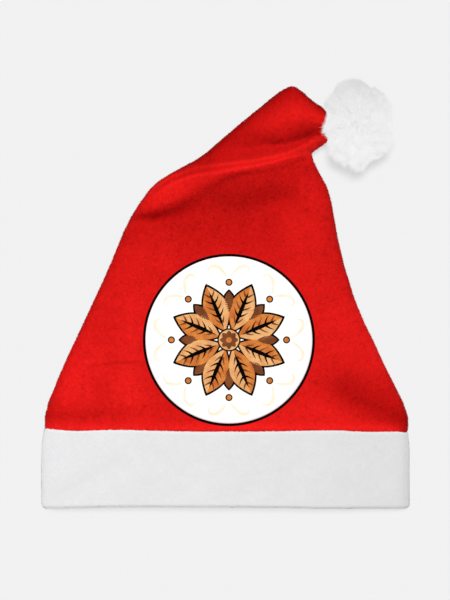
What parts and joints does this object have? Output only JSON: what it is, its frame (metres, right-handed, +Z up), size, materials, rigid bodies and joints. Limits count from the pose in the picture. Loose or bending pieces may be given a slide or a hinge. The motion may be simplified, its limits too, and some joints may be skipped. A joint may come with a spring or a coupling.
{
  "type": "santa hat",
  "caption": "Soft red fleece stocking cap lying flat, with a white plush cuff, a tip folded over to one side that ends in a white pompom, and a round print on the front.",
  "frame": {"origin": "on the table, under the middle of the cap's box", "axes": "+X to the right and the side the tip folds to, +Y from the open rim towards the tip, +Z up from the table"},
  "size_m": [0.3, 0.348, 0.051],
  "materials": {
    "red_fleece": "short brushed nap, matte with a soft sheen",
    "white_plush": "short dense white pile, matte",
    "pompom_pile": "long loose white pile, matte",
    "print_white": "flat printed cloth, matte",
    "print_black": "flat printed cloth, matte"
  },
  "bodies": {
    "root": {"crown": "red_fleece", "cuff": "white_plush", "pompom": "pompom_pile", "print_field": "print_white", "print_border": "print_black"}
  },
  "joints": []
}
